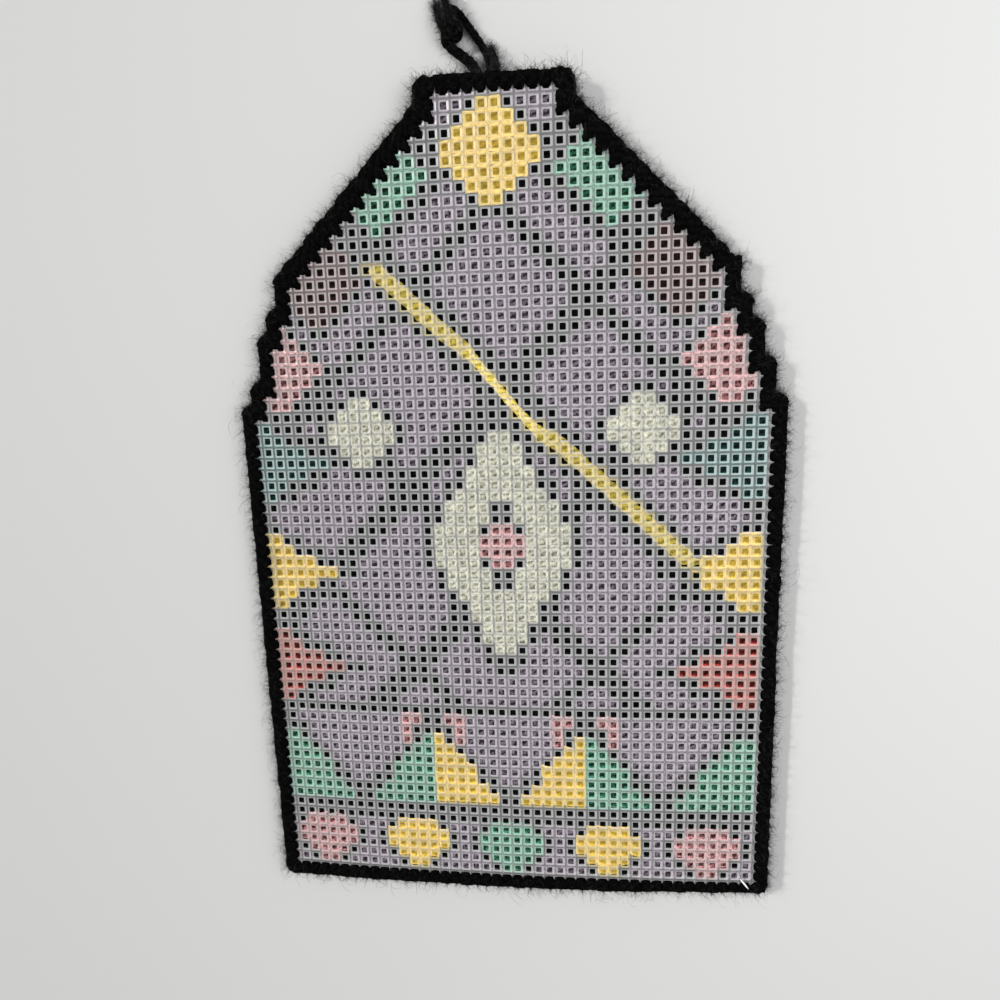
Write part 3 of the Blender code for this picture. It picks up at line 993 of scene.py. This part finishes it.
# ---------------------------------------------------------------- the loop
def rope(name, points, thickness, taper=None):
    mesh = Mesh()
    length = np.linalg.norm(np.diff(points, axis=0), axis=1).sum()
    half = np.full(len(points), thickness / 2)
    if taper is not None:
        half = half * np.interp(np.linspace(0, 1, len(points)),
                                np.linspace(0, 1, len(taper)), taper)
    co = add_tubes(mesh, points[None], half[None], half[None],
                   frame_along(points)[None], 15, plies=4, ply_depth=0.09,
                   turns=length / (9 * MM))
    np.maximum(co[..., 2], 0.02 * MM, out=co[..., 2])
    mesh.co[0] = co.reshape(-1, 3)
    return mesh.build(name, [edge_yarn]), co[0]


loop_points, loop_length = smooth_points(LOOP, 0.5 * MM)
# drawn thin on its way out, fuller on its way back into the edge
loop, loop_co = rope("hanging_loop_strand", loop_points, YARN,
                     [0.80, 0.82, 0.86, 0.90, 1.0, 1.1, 1.16, 1.2])
ends = []
for _k, _rows in enumerate((TAIL_1, TAIL_2, TAIL_3)):
    _points, _ = smooth_points(_rows, 0.5 * MM)
    _end, _co = rope("hanging_loop_end_%d" % (_k + 1), _points, YARN * 0.9,
                     [1.0, 0.9, 0.8])
    ends.append((_end, _points, _co))


def knot_points():
    """An overhand knot, pulled down to a bead."""
    t = np.linspace(0, 2 * math.pi, 91)[:-1]
    x = (2 + np.cos(3 * t)) * np.cos(2 * t) / 3.0
    y = (2 + np.cos(3 * t)) * np.sin(2 * t) / 3.0
    z = np.sin(3 * t)
    c, r = KNOT["centre"], KNOT["radii"]
    half = YARN / 2 / MM
    return np.stack([c[0] + x * (r[0] - half * 0.85), c[1] + y * (r[1] - half * 0.85),
                     c[2] + z * (r[2] - half)], -1) * MM


knot_path = knot_points()
knot_mesh = Mesh()
_up = np.broadcast_to([0.0, 0.0, 1.0], knot_path.shape)
knot_co = add_tubes(knot_mesh, knot_path[None], YARN / 2 * 0.98, YARN / 2 * 0.98,
                    _up[None], 14, closed=True, plies=4, ply_depth=0.09, turns=5.0)[0]
knot = knot_mesh.build("hanging_loop_knot", [edge_yarn])


def loop_fibres():
    groups = []
    strips = [(loop_points, loop_co, 1100, 1.3), (knot_path, knot_co, 700, 1.5)]
    strips += [(points, co, 560, 1.7) for _, points, co in ends]
    for points, co, share, long in strips:
        k = rng.randint(0, co.shape[0], share)
        side = rng.randint(0, co.shape[1], share)
        away = unit(co[k, side] - points[k])
        ahead = unit(np.gradient(points, axis=0))[k]
        groups.append((co[k, side] - away * 0.15 * MM,
                       away + ahead * 0.3 + rng.normal(0, 0.5, (share, 3)),
                       np.clip(rng.gamma(2.4, 0.40, share) * long, 0.4, 3.4) * MM))
    for _, points, _ in ends:                          # frayed ends
        share = 160
        ahead = unit(points[-1] - points[-4])
        groups.append((points[-2] + rng.normal(0, 0.45, (share, 3)) * MM,
                       ahead + rng.normal(0, 0.30, (share, 3)),
                       rng.uniform(1.0, 3.0, share) * MM))
    start = np.concatenate([g[0] for g in groups])
    direction = np.concatenate([g[1] for g in groups])
    length = np.concatenate([g[2] for g in groups])
    radius = rng.uniform(0.034, 0.056, len(start)) * MM
    return fibres("hanging_loop_fibres", start, direction, length, radius, 0.45,
                  fuzz_yarn, parts=4)


loop_fuzz = loop_fibres()


# ------------------------------------------------- a burr of the cut canvas
def burr():
    """A sliver of the plain canvas that stands up through the edging at its
    lower right corner."""
    mesh = Mesh()
    a = np.array([20.52 * PITCH, -33.66 * PITCH, 6.30 * MM])
    b = np.array([21.27 * PITCH, -34.60 * PITCH, 6.75 * MM])
    t = np.linspace(0, 1, 6)
    path = a + (b - a) * t[:, None]
    path[:, 2] += crown(path[:, 0])
    side = np.array([b[1] - a[1], a[0] - b[0], 0.0])
    add_tubes(mesh, path[None], (0.32 * np.sin(0.35 + t * 2.4)[None]) * MM, 0.16 * MM,
              side[None, None] / np.linalg.norm(side), 6)
    return mesh.build("plain_canvas_burr", [burr_plastic])


sliver = burr()


# ------------------------------------------------------------------- frame
end_pieces = [end for end, _, _ in ends]
for piece in (plain, sliver):
    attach(piece, "root")
for piece in (worked, carried, *stitch_pieces):
    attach(piece, "root")
for piece in (edging, *edge_fuzz, loop, *end_pieces, knot, loop_fuzz):
    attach(piece, "root")
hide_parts("plain_canvas")
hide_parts("worked_canvas")
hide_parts("yarn_edging")
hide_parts("hanging_loop")

holes = sum(a + b + 1 for a, b in HOLE_ROWS)
cut_area = holes * PITCH ** 2
for row in range(ROWS):
    cut_area += 2 * (BAR_OVER - 0.5) * PITCH ** 2
cut_area += 2 * 45 * (BAR_OVER - 0.5) * PITCH ** 2


# ---------------------------------------------------- floor, light, camera
def area_light(name, place, target, size, power, colour=(1, 1, 1), size_y=None):
    data = bpy.data.lights.new(name, "AREA")
    data.energy = power
    data.color = colour
    data.size = size
    if size_y:
        data.shape = "RECTANGLE"
        data.size_y = size_y
    obj = bpy.data.objects.new(name, data)
    obj.location = place
    obj.rotation_euler = (Vector(target) - Vector(place)).to_track_quat("-Z", "Y").to_euler()
    bpy.context.scene.collection.objects.link(obj)
    return obj


floor_data = bpy.data.meshes.new("floor")
ring = [(3.0 * math.cos(a), 3.0 * math.sin(a), 0.0)
        for a in np.linspace(0, 2 * math.pi, 65)[:-1]]
floor_data.from_pydata(ring, [], [list(range(64))])
floor = bpy.data.objects.new("floor", floor_data)
floor.data.materials.append(floor_material())
bpy.context.scene.collection.objects.link(floor)

world = bpy.data.worlds.new("studio")
bpy.context.scene.world = world
world.use_nodes = True
world.node_tree.nodes["Background"].inputs["Color"].default_value = (0.97, 0.985, 1.0, 1.0)
world.node_tree.nodes["Background"].inputs["Strength"].default_value = 0.59
sun_data = bpy.data.lights.new("key", "SUN")
sun_data.energy = 2.2
sun_data.angle = 0.062
sun_data.color = (1.0, 0.985, 0.96)
sun = bpy.data.objects.new("key", sun_data)
sun.location = (-1.55, 0.62, 1.25)
sun.rotation_euler = (-Vector(sun.location)).to_track_quat("-Z", "Y").to_euler()
bpy.context.scene.collection.objects.link(sun)
area_light("fill", (0.34, 0.14, 0.46), (0.04, 0, 0), 0.30, 1.8)

cam_data = bpy.data.cameras.new("camera")
cam_data.sensor_width = 36.0
cam_data.sensor_fit = "HORIZONTAL"
cam_data.lens = 762.2 / 1000.0 * 36.0
cam_data.clip_start = 0.01
camera = bpy.data.objects.new("camera", cam_data)
bpy.context.scene.collection.objects.link(camera)
camera.matrix_world = Matrix((
    (0.99292047, 0.00821392, 0.11849672, 0.02741875),
    (-0.03239774, 0.97850912, 0.20364257, 0.05860551),
    (-0.11427742, -0.20603991, 0.97184784, 0.24796720),
    (0.0, 0.0, 0.0, 1.0)))
bpy.context.scene.camera = camera

view = bpy.context.scene.view_settings
view.view_transform = "Standard"
view.look = "None"
view.exposure = 0.0
view.gamma = 1.0

bpy.context.view_layer.update()
